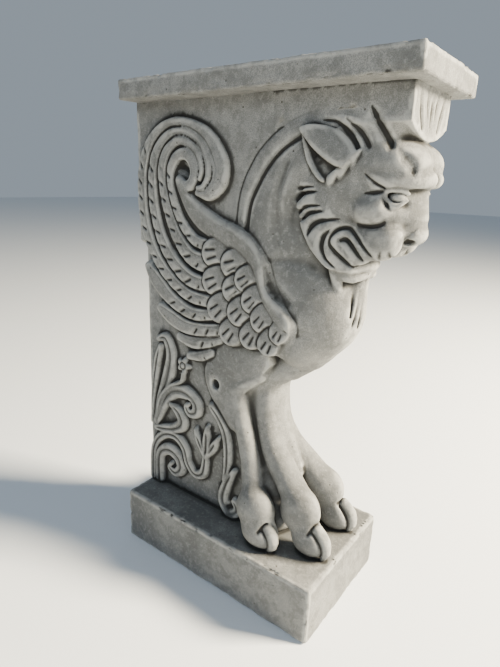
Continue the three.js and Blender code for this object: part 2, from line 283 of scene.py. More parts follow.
class Field:
    """Signed distance to the stone on a block of cells: negative inside, in millimetres."""

    FAR = 40.0

    def __init__(self, low, high, cell):
        self.cell = cell
        self.axes = [np.arange(lo, hi + cell, cell, dtype=np.float32) for lo, hi in zip(low, high)]
        self.value = np.full([len(axis) for axis in self.axes], self.FAR, dtype=np.float32)

    def window(self, low, high):
        """The cells between two corners, and their three coordinates."""
        cut = tuple(
            slice(max(0, int(np.searchsorted(axis, lo))), max(1, int(np.searchsorted(axis, hi))))
            for axis, lo, hi in zip(self.axes, low, high)
        )
        x, s, z = (axis[c] for axis, c in zip(self.axes, cut))
        return cut, x[:, None, None], s[None, :, None], z[None, None, :]

    def join(self, cut, distance, blend):
        """Adds a form, melting it into what is there over the blend."""
        here = self.value[cut]
        h = np.clip(0.5 + 0.5 * (here - distance) / blend, 0.0, 1.0)
        self.value[cut] = here + (distance - here) * h - blend * h * (1.0 - h)

    def cut_away(self, cut, distance, blend):
        """Takes a form away, with a softened edge."""
        here = self.value[cut]
        h = np.clip(0.5 + 0.5 * (here + distance) / blend, 0.0, 1.0)
        self.value[cut] = -distance + (here + distance) * h + blend * h * (1.0 - h)

    def block(self, low, high, round_edge, blend=0.1):
        """A squared block with rounded edges."""
        cut, x, s, z = self.window([v - 12 for v in low], [v + 12 for v in high])
        outside = 0.0
        inside = -1e3
        for p, lo, hi in zip((x, s, z), low, high):
            d = np.abs(p - 0.5 * (lo + hi)) - 0.5 * (hi - lo) + round_edge
            outside = outside + np.maximum(d, 0.0) ** 2
            inside = np.maximum(inside, d)
        self.join(cut, np.sqrt(outside) + np.minimum(inside, 0.0) - round_edge, blend)

    def sheet(self, cut, height, outline, reach, blend):
        """A carved sheet: heights out from the middle plane inside an outline, within a reach along x."""
        columns = self.axes[0][cut[0]]
        slope = np.gradient(height, self.cell)
        steep = np.maximum(1.0 / np.sqrt(1.0 + slope[0] ** 2 + slope[1] ** 2), 0.4)
        limit = np.maximum(reach[0] - columns, columns - reach[1])[:, None, None]
        face = (self.axes[1][None, :, None] - height[:, None, :]) * steep[:, None, :]
        form = np.maximum(np.maximum(face, outline[:, None, :]), limit)
        self.join((cut[0], slice(None), cut[1]), form.astype(np.float32), blend)

    def oval(self, centre, radii, blend, pitch=0.0, yaw=0.0, away=False):
        """An ellipsoid, pitched in the side view and turned about the upright, joined or cut away."""
        reach = max(radii) + 1.5 * blend + 10
        cut, x, s, z = self.window([c - reach for c in centre], [c + reach for c in centre])
        x, s, z = x - centre[0], s - centre[1], z - centre[2]
        if yaw:
            x, s = x * math.cos(yaw) + s * math.sin(yaw), s * math.cos(yaw) - x * math.sin(yaw)
        if pitch:
            x, z = x * math.cos(pitch) + z * math.sin(pitch), z * math.cos(pitch) - x * math.sin(pitch)
        unit = np.sqrt((x / radii[0]) ** 2 + (s / radii[1]) ** 2 + (z / radii[2]) ** 2)
        slope = np.sqrt((x / radii[0] ** 2) ** 2 + (s / radii[1] ** 2) ** 2 + (z / radii[2] ** 2) ** 2)
        distance = unit * (unit - 1.0) / np.maximum(slope, 1e-5)
        (self.cut_away if away else self.join)(cut, distance, blend)

    def limb(self, points, blend, flat=1.0, away=False):
        """A tapering limb through [x, out, z, radius] points; flat widens it away from the middle plane."""
        route = trace(points, 14.0)
        reach = route[:, 3].max() * max(1.0, flat) + blend + 4
        cut, x, s, z = self.window(route[:, :3].min(0) - reach, route[:, :3].max(0) + reach)
        s = s / flat
        distance = np.float32(1e3)
        for a, b in zip(route[:-1], route[1:]):
            a = a / (1, flat, 1, 1)
            b = b / (1, flat, 1, 1)
            run = b[:3] - a[:3]
            t = ((x - a[0]) * run[0] + (s - a[1]) * run[1] + (z - a[2]) * run[2]) / (run @ run)
            t = np.clip(t, 0.0, 1.0)
            off = [axis - a[i] - t * run[i] for i, axis in enumerate((x, s, z))]
            gap = np.sqrt(off[0] ** 2 + off[1] ** 2 + off[2] ** 2)
            distance = np.minimum(distance, gap - (a[3] + t * (b[3] - a[3])))
        (self.cut_away if away else self.join)(cut, distance.astype(np.float32), blend)


def paint_feather(relief, points, base, rise, notch_pitch):
    """A long feather with a quill line and short slanting splits along its outer edge."""
    cut, left, distance, run, carried, length = relief.near(points, 20)
    half = carried[..., 0]
    t = np.clip(distance / half, 0, 1)
    height = base + rise * (1.0 - 0.14 * t**2 - 0.86 * smooth_step(t, 0.8, 1.0))
    height -= 1.1 * np.exp(-(((left + 0.5 * half) / 1.3) ** 2))
    slant = run - 0.8 * left
    split = np.exp(-(((slant % notch_pitch - 0.5 * notch_pitch) / 1.9) ** 2))
    split *= smooth_step(left / half, -0.3, 0.0) * smooth_step(left / half, 0.9, 0.65)
    height -= 3.6 * split * smooth_step(run, 0.6 * length, 0.5 * length) * (run > 14)
    relief.raise_to(cut, height, distance < half)


def paint_covert(relief, x, z, radius, heading, base, rise, bedded):
    """A small feather: a scallop whose rounded end stands proud and whose root is tucked under.

    A bedded one lies on a low disc; the foremost ones lie straight on the belly.
    """
    reach = 1.7 * radius
    cut, a, b = relief.window((x - reach, z - reach), (x + reach, z + reach))
    da, db = (a - x) / radius, (b - z) / radius
    if bedded:
        relief.raise_to(cut, base - 4.0, np.hypot(da, db) < 1.1)
    tip = da * math.cos(heading) + db * math.sin(heading)
    side = db * math.cos(heading) - da * math.sin(heading)
    t = np.hypot(np.where(tip > 0, tip, 0.62 * tip), side)
    height = base + rise * (1.0 - 0.22 * t**2 - 0.78 * smooth_step(t, 0.84, 1.0)) + 3.2 * tip
    for offset in (-0.24, 0.22):
        dash = np.exp(-(((side - offset * (1.0 + 0.5 * tip)) * radius / 1.5) ** 2))
        height -= 3.0 * dash * smooth_step(tip, -0.35, 0.0) * smooth_step(tip, 0.7, 0.45)
    relief.h[cut] = np.where(t < 1.0, height, relief.h[cut])


def paint_scroll(relief, points, base, rise):
    """A scroll band: a rounded strap with a shallow channel along it."""
    cut, left, distance, _, carried, _ = relief.near(points, 18)
    half = carried[..., 0]
    t = np.clip(distance / half, 0, 1)
    channel = 0.26 * np.exp(-((left / (0.34 * half)) ** 2)) * smooth_step(half, 5.0, 8.0)
    relief.raise_to(cut, base + rise * (np.sqrt(1.0 - t**3) - channel), distance < half)


def side_relief(field, sizes):
    """Half thickness of the panel over the side view: ground, wing, neck and scrollwork."""
    relief = ReliefMap(field.axes[0], field.axes[2], sizes.ground_half / MM)
    upper = sizes.panel_half / MM
    ground = sizes.ground_half / MM
    across, up = relief.a[:, None], relief.b[None, :]
    change = 499 - 95 * smooth_step(across, -20, 30)
    relief.h += ((upper - ground) * smooth_step(up - change, -5, 5)).astype(np.float32)
    # Below and before the wing the panel sinks away, and belly and leg stand free
    forward = np.clip(across - 72, 0, 40)
    sink = (up - 402 - 1.2 * forward) / (10 + 1.6 * forward)
    relief.h -= (30 * smooth_step(across, 34, 54) * smooth_step(sink, 0, -1)).astype(np.float32)

    # Neck: a raised band between two arcs, then a rounded surface that turns in towards the throat
    cut, left, _, _, _, _ = relief.near(INNER_ARC, 130)
    inward = -left
    turn = np.where(inward > 0, 2.5 * np.sin(np.pi * np.clip(inward / 55, 0, 1))
                    - 15.0 * smooth_step(inward, 28, 78), 0.0)
    relief.h[cut] += (turn * smooth_step(relief.b[cut[1]], 380, 440)[None, :]).astype(np.float32)
    relief.h -= (18.0 * smooth_step(across, 104, 128) * smooth_step(up, 660, 650)).astype(np.float32)
    middle = [((ax + bx) / 2, (az + bz) / 2) for (ax, az), (bx, bz) in zip(OUTER_ARC, INNER_ARC)]
    relief.swell(middle, 8.0, 1.6)
    relief.carve(OUTER_ARC, 1.6, 1.8, taper=False)
    relief.carve(INNER_ARC, 2.8, 4.5, taper=False)
    for flute in FLUTES:
        relief.carve(flute, 6.0, 3.0)

    # Wing
    for level, feather in zip((45, 47, 50, 53), reversed(SHORT_FEATHERS)):
        paint_feather(relief, feather, level, 8.5, NOTCH_PITCH)
    for feather in VOLUTE_FEATHERS:
        paint_feather(relief, feather, 56.5, 7.0, NOTCH_PITCH)
    cut, a, b = relief.window((-115, 555), (10, 680))
    lobe = np.exp(-((np.hypot(a + 38, b - 598) / 34) ** 2))
    relief.h[cut] += np.where(relief.h[cut] > 58.0, 6.0 * lobe, 0.0).astype(np.float32)
    relief.carve([(-93, 610), (-88, 607), (-83, 604)], 5.5, 10.0, taper=False)
    for row, coverts in enumerate(COVERT_ROWS):
        for x, z, radius in coverts:
            heading = math.radians(195 + 0.36 * (500 - z) + 6 * row)
            paint_covert(relief, x, z, radius, heading, 57.0 + 0.8 * row, 7.0, x < 60)
    cut, left, distance, run, carried, length = relief.near(WING_ARM, 26)
    u = np.clip(left / carried[..., 0], -1, 1)
    crest = np.where(u < -0.5, 1.0 - 0.7 * ((-u - 0.5) / 0.5) ** 2, 1.0 - 0.65 * ((u + 0.5) / 1.5) ** 2)
    level = 68.0 - 4.0 * smooth_step(run, 60, length - 40)
    relief.raise_to(cut, 56 + (level - 56) * crest, distance < carried[..., 0])

    # Scrollwork, rosette and the heel's eye
    for points in SCROLLWORK.values():
        paint_scroll(relief, points, ground - 1.0, 11.5)
    cut, a, b = relief.window((-122, 296), (-80, 336))
    radius = np.hypot(a - ROSETTE[0], b - ROSETTE[1])
    turn = np.arctan2(b - ROSETTE[1], a - ROSETTE[0])
    petals = 12.5 + 2.5 * np.cos(5 * turn)
    bloom = ground + 8.0 * np.sqrt(np.clip(1.0 - (radius / petals) ** 4, 0, 1))
    bloom -= 3.0 * np.exp(-(((radius - 5.5) / 1.6) ** 2))
    relief.raise_to(cut, bloom, radius < petals)
    relief.carve([(-3, 104), (0, 106)], 5.0, 10.0, taper=False)
    relief.ease_cliffs(4.5, 7.0)
    relief.soften(1)
    return relief


def carve_detail(field):
    """Cuts and swells over the side view that follow whatever surface lies there."""
    detail = ReliefMap(field.axes[0], field.axes[2])
    # Hair strokes over the temple and beside the ear
    detail.carve([(177, 672, 0.5), (184, 660, 1), (192, 647, 1), (200, 632, 0.8)], 4.2, 6.0)
    detail.carve([(151, 661, 0.5), (164, 649, 1), (178, 633, 0.8)], 4.4, 6.5)
    detail.carve([(122, 661, 0.4), (140, 658, 0.7), (154, 647, 1), (166, 632, 0.8)], 3.0, 5.0)
    detail.swell([(141, 664), (156, 657), (171, 637)], 5.0, 2.5)
    # Locks at the back of the jaw
    detail.carve([(94, 588, 1), (104, 590, 0.8), (118, 591, 0.2)], 2.2, 4.5)
    detail.carve([(91, 575, 1), (101, 583, 1), (122, 586, 0.2)], 3.4, 7.0)
    detail.carve([(94, 560, 1), (106, 568, 0.9), (127, 571, 0.2)], 2.6, 5.5)
    detail.carve([(100, 553, 1), (110, 561, 1), (131, 565, 0.2)], 3.4, 7.0)
    detail.carve([(110, 536, 0.6), (115, 546, 1), (126, 553, 0.9), (148, 557, 0.3)], 3.6, 6.0)
    detail.carve([(147, 500, 0.4), (135, 511, 0.8), (130, 523, 1), (132, 535, 1), (140, 545, 0.4)], 3.6, 7.5)
    # Rings of the curl at the corner of the jaw
    detail.carve([(165, 502, 0.7), (146, 519, 1), (139, 532, 1), (146, 544, 1), (158, 547, 1), (169, 538, 1),
                  (187, 518, 0.6)], 2.2, 4.5)
    detail.carve([(151, 533, 0.8), (157, 534, 1), (165, 527, 1), (177, 512, 0.6)], 3.2, 7.0)
    # Brow, lids, nose and cheek creases
    detail.carve([(208, 630, 0.4), (216, 622, 1), (221, 616, 1), (223, 609, 0.6), (224, 603, 0.2)], 5.5, 3.4)
    detail.carve([(227, 553, 0.2), (222, 546, 0.8), (217, 538, 1), (214, 530, 0.4)], 3.0, 1.8)
    detail.carve([(174, 608, 0.2), (186, 598, 1), (197, 592, 0.8)], 2.0, 3.5)
    detail.carve([(174, 586, 0.2), (186, 587, 1), (195, 589, 0.8)], 2.2, 3.5)
    detail.carve([(197, 579, 0.3), (200, 574, 1), (205, 568, 0.4)], 2.0, 2.0)
    detail.carve([(200, 560, 0.2), (196, 554, 0.7), (188, 551, 0.9), (178, 551, 0.7), (168, 553, 0.3)],
                 3.4, 2.4)
    detail.carve([(207, 526, 0.3), (205, 520, 1), (204, 514, 0.6)], 1.8, 1.6)
    detail.carve([(199, 526, 0.3), (196, 520, 1), (194, 514, 0.6)], 1.8, 1.4)
    # Top of the chest below the neck
    detail.carve([(58, 500, 0.4), (82, 503, 1), (106, 500, 1), (128, 489, 0.6)], 9.0, 3.0)
    return detail


def hair_and_ear(field):
    """The hair that ends in a scalloped edge on the neck, and the pointed ear lying back over it."""
    chart = ReliefMap(field.axes[0], field.axes[2], -1e3)
    cut, left, _, _, _, _ = chart.near(HAIR_EDGE, 60)
    rise = 54.0 + 4.0 * (1.0 - np.exp(-np.maximum(left, 0.0) / 9.0))
    rise -= 16.0 * smooth_step(chart.a[cut[0]], 134, 164)[:, None]
    field.sheet(cut, rise, np.maximum(-left, 499 - chart.b[cut[1]][None, :]), (90, 164), 6.0)
    cut, inside = outline_distance(chart, EAR_OUTLINE, 8)
    ridge = chart.offset(EAR_RIDGE, cut)
    rim = chart.offset(EAR_BACK_RIM, cut)
    height = np.where(ridge > 0, 68.0 - 0.011 * ridge**2, 68.0 - 18.0 * smooth_step(-ridge, 0.0, 8.0))
    height = np.maximum(height, 63.0 - 13.0 * smooth_step(np.abs(rim), 2.0, 6.0))
    height -= 5.0 * smooth_step(chart.a[cut[0]], 140, 168)[:, None]
    field.sheet(cut, height, inside, (90, 170), 2.5)


def outline_distance(chart, corners, margin):
    """Signed distance to a closed smooth outline, negative inside, over the window about it."""
    ring = trace(list(corners) + [corners[0]], 3.0)
    cut, a, b = chart.window(ring.min(0) - margin, ring.max(0) + margin)
    best = np.full((a.shape[0], b.shape[1]), 1e9)
    inside = np.zeros(best.shape, dtype=bool)
    for (pa, pb), (qa, qb) in zip(ring[:-1], ring[1:]):
        ra, rb = qa - pa, qb - pb
        t = np.clip(((a - pa) * ra + (b - pb) * rb) / (ra * ra + rb * rb + 1e-9), 0, 1)
        best = np.minimum(best, (a - pa - t * ra) ** 2 + (b - pb - t * rb) ** 2)
        if pb != qb:
            inside ^= ((pb > b) != (qb > b)) & (a < ra * (b - pb) / rb + pa)
    return cut, np.where(inside, -1.0, 1.0) * np.sqrt(best)


def carve_head(field, sizes, seat):
    """Crest block, skull, brow, eyes, muzzle, jaw and hair."""
    half = sizes.panel_half / MM
    cut, x, s, z = field.window((50, 0, 630), (236, half + 8, seat + 12))
    crest = np.maximum(np.maximum(x - CREST_FRONT, CREST_BACK - x), np.maximum(s - half, z - seat - 4))
    crest = np.maximum(crest, 0.9 * (641 + 16 * (s / half) ** 2 - z))
    field.join(cut, crest, 2.0)
    field.oval((150, 0, 596), (66, 56, 70), 8)
    field.block((112, -60, 598), (204, 54, 668), 18, 12)
    field.oval((186, 0, 578), (38, 47, 50), 10)
    # Brow
    field.oval((192, 21, 617), (41, 34, 27), 6)
    field.oval((190, 0, 618), (41, 30, 28), 6)
    field.limb([(184, 47, 601, 7), (203, 43, 600, 9), (221, 30, 601, 9), (229, 14, 602, 9),
                (230, 0, 602, 9)], 6)
    # Cheek, nose and muzzle
    field.oval((183, 38, 569), (25, 18, 18), 5, pitch=0.1, yaw=-0.25)
    field.limb([(209, 0, 604, 17), (208, 0, 580, 19), (210, 0, 560, 21), (207, 0, 549, 21)], 8)
    field.oval((190, 27, 538), (27, 21, 22), 6)
    field.oval((187, 25, 526), (22, 18, 14), 8)
    field.oval((213, 0, 543.5), (20, 23, 15), 5)
    field.oval((196, 0, 526), (15, 14, 12), 6)
    # Eye: socket, hollow at its inner corner, two lids and the ball
    field.oval((212, 46, 583), (17, 12, 10), 3, away=True)
    field.oval((219, 34, 575), (8, 10, 7), 4, away=True)
    field.limb([(195, 43, 587, 2), (202, 43, 590.5, 3), (211, 39, 590.5, 3), (218, 32, 587, 2)], 3)
    field.limb([(196, 43, 584, 2), (203, 42, 576.5, 2.5), (211, 38.5, 575, 2.5), (217, 33, 580, 2)], 3.5)
    field.oval((206, 33, 583), (10, 10, 6.6), 0.8, yaw=-0.5, away=True)
    field.oval((206, 31, 583), (10.2, 11.6, 7.3), 0.3, yaw=-0.5)
    # Nostril, cleft of the lip and furrow of the forehead
    field.limb([(225, 12, 534.5, 1.5), (219, 17, 533.5, 3), (211, 23, 531.5, 1.5)], 1, away=True)
    field.oval((220, 14, 533.5), (9, 6, 4.6), 1, yaw=0.6, away=True)
    field.limb([(230, 0, 536, 1), (222, 0, 529, 2.2), (208, 0, 518, 2)], 2, away=True)
    field.limb([(231, 0, 642, 3), (236, 0, 618, 4), (237, 0, 598, 3)], 6, away=True)
    # Chin, curl and the lower locks
    field.oval((148, 0, 502), (30, 30, 17), 6)
    field.oval((160, 36, 530), (29, 13, 22), 5, pitch=-0.65)
    field.limb([(138, 40, 522, 7), (144, 41, 507, 8), (157, 34, 499, 8), (167, 16, 502, 7)], 3)
    field.limb([(136, 36, 506, 6), (148, 34, 494, 8), (159, 25, 489, 8), (166, 8, 492, 7)], 3)
    field.limb([(140, 38, 500, 7), (143, 33, 484, 7), (143, 26, 460, 3)], 3)
    hair_and_ear(field)
    for tuft in (
        [(160, 52, 611, 3), (161, 56, 620, 5), (168, 56, 630, 2)],
        [(146, 54, 601, 3), (150, 58, 609, 5), (160, 60, 619, 2)],
        [(134, 54, 592, 3), (138, 58, 600, 5), (147, 61, 610, 2)],
    ):
        field.limb(tuft, 2)
    # Tuft strands down the front of the crest
    for strand in (
        [(222, 38, 690, 1.5), (222, 32, 670, 4.5), (221, 24, 653, 2.0)],
        [(222, 17, 690, 1.0), (222, 14, 677, 3.0), (222, 11, 664, 1.0)],
        [(222, 1, 684, 1.5), (222, 1, 670, 3.5), (222, 0, 656, 1.5)],
    ):
        field.limb(strand, 3, away=True)


def carve_body(sizes):
    """Lion, wing and panel as a field of distances over one side of the middle plane."""
    mm = 1.0 / MM
    height, back = sizes.height * mm, sizes.back * mm
    foot, half_plinth = sizes.plinth_height * mm, sizes.plinth_width * mm / 2
    seat = height - sizes.slab_thickness * mm
    far_corner = (back + sizes.slab_length * mm + 12, half_plinth + 8, height + 8)
    field = Field((back - 8, 0.0, -8), far_corner, sizes.cell * mm)

    # Panel with its relief
    relief = side_relief(field, sizes)
    slope = np.gradient(relief.h, field.cell)
    steep = 1.0 / np.sqrt(1.0 + slope[0] ** 2 + slope[1] ** 2)
    x, s, z = (axis.reshape(shape) for axis, shape in zip(field.axes, ((-1, 1, 1), (1, -1, 1), (1, 1, -1))))
    face = (s - relief.h[:, None, :]) * np.maximum(steep, 0.3)[:, None, :]
    levels, reach = zip(*LEG_FRONT)
    front = np.interp(field.axes[2], levels, reach).astype(np.float32)[None, None, :]
    outline = np.maximum(np.maximum(back - x, x - front), np.maximum(foot - 6 - z, z - seat - 4))
    field.value = np.minimum(field.value, np.maximum(face, outline)).astype(np.float32)

    # Neck, chest and belly
    field.limb([(84, 0, 600, 43), (90, 0, 540, 43), (96, 0, 480, 44)], 12)
    field.oval((64, 0, 492), (50, 55, 72), 16)
    field.oval((86, 0, 440), (80, 59, 76), 18)
    field.limb([(90, 0, 420, 48), (94, 0, 388, 37), (86, 0, 368, 27), (64, 0, 350, 26)], 14, flat=1.15)
    field.oval((90, 27, 394), (30, 29, 32), 10)
    # Strip of mane down the chest, with its wavy grooves
    field.limb(MANE_STRIP, 8)
    for out, back_off, first, last, width in ((6, 0, 0, 5, 2.4), (14, 3.5, 1, 4, 2.0), (21, 9, 0, 3, 2.8)):
        field.limb([(x + r + 1 - back_off, out + 3.0 * math.sin(0.06 * z + out), z, width * (z - 370) / 120)
                    for x, _, z, r in MANE_STRIP[first:last]], 3, away=True)
    # Thigh, leg and the round hole in the hock
    chart = ReliefMap(field.axes[0], field.axes[2])
    cut, edge = outline_distance(chart, THIGH_OUTLINE, 10)
    field.sheet(cut, 46.0 + 7.0 * (1.0 - np.exp(np.minimum(edge, 0.0) / 10.0)), edge, (-70, 60), 3)
    field.oval((10, 0, 342), (58, 50, 54), 8)
    field.limb(SHANK, 8, flat=1.2)
    field.oval((52, 0, 112), (46, 62, 36), 10)
    field.limb(INNER_WEB, 8)
    field.limb(INNER_BONE, 6)
    field.limb(OUTER_BONE, 5)
    field.limb([(0, 43, 304, 9), (20, 45, 318, 8), (42, 40, 334, 8)], 5)
    field.oval((-32, 54, 305), (8.5, 12, 8.5), 2, away=True)
    # Shoulder hollow between the arm of the wing and the chest
    field.limb([(62, 66, 490, 4), (66, 64, 471, 7), (76, 63, 460, 7), (92, 62, 451, 4)], 7, away=True)
    # Toes and claws
    field.oval((60, 65, 139), (31, 22, 31), 8, pitch=-0.4)
    field.oval((71, 68, 110), (30, 20, 25), 9)
    field.oval((117, 36, 147), (30, 21, 34), 8, pitch=-0.5)
    field.oval((137, 38, 112), (28, 19, 27), 9)
    for undercut, radii in (((72, 93, 86), (30, 12, 9)), ((138, 62, 86), (28, 12, 9))):
        field.oval(undercut, radii, 4, away=True)
    for claw in CLAWS:
        for side in (-1, 1):
            field.limb([(a - 1, b + side * (r + 1.5), c - 1, 0.36 * r) for a, b, c, r in claw], 3, away=True)
        a, b, c, _ = claw[0]
        hood = [(a - 8, b + 13, c - 4, 1.5), (a - 2, b + 2, c + 7, 3), (a - 5, b - 11, c + 4, 1.5)]
        field.limb(hood, 4, away=True)
        field.limb(claw, 1)
    carve_head(field, sizes, seat)

    # Carved detail on the side faces
    detail = carve_detail(field)
    touched = np.abs(detail.h) > 0.02
    rows = np.flatnonzero(touched.any(1))
    columns = np.flatnonzero(touched.any(0))
    cut = (slice(rows[0], rows[-1] + 1), slice(None), slice(columns[0], columns[-1] + 1))
    shallow = 6 + 24 * smooth_step(x[cut[0]], 190, 168)
    field.value[cut] -= detail.h[cut[0], None, cut[2]] * smooth_step(s - shallow, 0, 13)
    field.value = np.maximum(field.value, back - x).astype(np.float32)
    return field


def box_blur(value, reach):
    """Mean over a cube of cells, by running sums along each axis."""
    for axis in range(3):
        padded = np.concatenate([np.repeat(value.take([0], axis), reach + 1, axis), value,
                                 np.repeat(value.take([-1], axis), reach, axis)], axis)
        total = np.cumsum(padded, axis, dtype=np.float64)
        count = value.shape[axis]
        width = 2 * reach + 1
        sums = total.take(range(width, width + count), axis) - total.take(range(count), axis)
        value = (sums / width).astype(np.float32)
    return value


def sample(value, places):
    """Values between the cells, for places given in cells."""
    low = np.clip(np.floor(places).astype(int), 0, np.array(value.shape) - 2)
    part = places - low
    result = 0.0
    for corner in range(8):
        step = np.array([corner >> 2 & 1, corner >> 1 & 1, corner & 1])
        weight = np.prod(np.where(step, part, 1.0 - part), axis=1)
        result = result + weight * value[tuple((low + step).T)]
    return result


def refine(shaped, longest):
    """Splits edges until none is much longer than a length, so that the grime, painted shade and painted
    highlight can follow the hollows.
    """
    for _ in range(8):
        edges = [edge for edge in shaped.edges if edge.calc_length() > longest]
        if not edges:
            break
        bmesh.ops.subdivide_edges(shaped, edges=edges, cuts=1)
        bmesh.ops.triangulate(shaped, faces=[face for face in shaped.faces if len(face.verts) > 3])


def roughen(shaped, amounts, wear=None):
    """Moves points a little along their normals by smooth noise of several sizes."""
    shaped.normal_update()
    moves = []
    for vert in shaped.verts:
        move = sum(depth * noise.noise(vert.co / size) for size, depth in amounts)
        moves.append(move - (wear(vert.co) if wear else 0.0))
    for vert, move in zip(shaped.verts, moves):
        vert.co += vert.normal * move


def finished_mesh(name, shaped):
    """Closes a bmesh off as a smooth mesh with outward faces."""
    bmesh.ops.recalc_face_normals(shaped, faces=shaped.faces)
    for face in shaped.faces:
        face.smooth = True
    mesh = bpy.data.meshes.new(name)
    shaped.to_mesh(mesh)
    shaped.free()
    return mesh


def body_mesh(name, field, triangles):
    """The zero surface of the mirrored field, thinned out to a number of triangles."""
    half = np.clip(field.value, -4 * field.cell, 4 * field.cell)
    whole = np.concatenate([half[:, :0:-1, :], half], axis=1)
    grid = openvdb.FloatGrid(4 * field.cell)
    grid.copyFromArray(whole)
    points, quads = grid.convertToQuads(0.0)
    middle = len(field.axes[1]) - 1
    start = np.array([field.axes[0][0], -middle * field.cell, field.axes[2][0]])
    dense = bpy.data.meshes.new(name)
    dense.from_pydata((points * field.cell + start) * MM, [], quads)
    holder = bpy.data.objects.new(name, dense)
    bpy.context.collection.objects.link(holder)
    thin = holder.modifiers.new("Thin out", "DECIMATE")
    thin.ratio = min(1.0, triangles / (2.0 * len(quads)))
    thinned = holder.evaluated_get(bpy.context.evaluated_depsgraph_get())
    shaped = bmesh.new()
    shaped.from_mesh(thinned.data)
    bpy.data.objects.remove(holder)
    bpy.data.meshes.remove(dense)
    bmesh.ops.triangulate(shaped, faces=shaped.faces)
    refine(shaped, BODY_EDGE)
    roughen(shaped, BODY_ROUGHNESS)
    return finished_mesh(name, shaped)


def block_mesh(name, low, high, edge):
    """A cast block with softened, chipped edges."""
    low, high = Vector(low), Vector(high)
    shaped = bmesh.new()
    bmesh.ops.create_cube(shaped, size=1.0)
    bmesh.ops.scale(shaped, verts=shaped.verts, vec=high - low)
    bmesh.ops.translate(shaped, verts=shaped.verts, vec=(high + low) / 2)
    bmesh.ops.bevel(shaped, geom=shaped.edges[:], offset=edge, segments=3, profile=0.5, affect="EDGES",
                    material=-1)
    bmesh.ops.triangulate(shaped, faces=shaped.faces)
    refine(shaped, BLOCK_EDGE)

    def wear(spot):
        gaps = sorted(min(abs(spot[i] - low[i]), abs(spot[i] - high[i])) for i in range(3))
        close = max(0.0, 1.0 - gaps[1] / (2.5 * edge))
        chips = 0.4 * noise.noise(spot / 0.022) + 0.6 * noise.noise(spot / 0.008)
        return close * max(0.0, chips) * CHIP_DEPTH

    roughen(shaped, BLOCK_ROUGHNESS, wear)
    return finished_mesh(name, shaped)


def store_hollows(mesh, field, blurred, seat):
    """Keeps on each point how deep it lies in a hollow, near by and in the large, except under the slab; the
    painted shade, grime and painted highlight are drawn from these depths.
    """
    spots = np.empty(len(mesh.vertices) * 3)
    mesh.vertices.foreach_get("co", spots)
    spots = spots.reshape(-1, 3) / MM
    spots[:, 1] = np.abs(spots[:, 1])
    cells = (spots - [axis[0] for axis in field.axes]) / field.cell
    here = sample(np.clip(field.value, -DEEPEST, DEEPEST), cells)
    for name, value in blurred.items():
        depth = (here - sample(value, cells)) * smooth_step(np.abs(spots[:, 2] - seat), 6, 16)
        # Points that are buried in a neighbouring block count as hollow, so the joins get the painted shade
        # and grime
        depth = (depth + (0.7 - depth) * smooth_step(here, -0.6, -2.0)).astype(np.float32)
        mesh.attributes.new(name, "FLOAT", "POINT").data.foreach_set("value", depth)


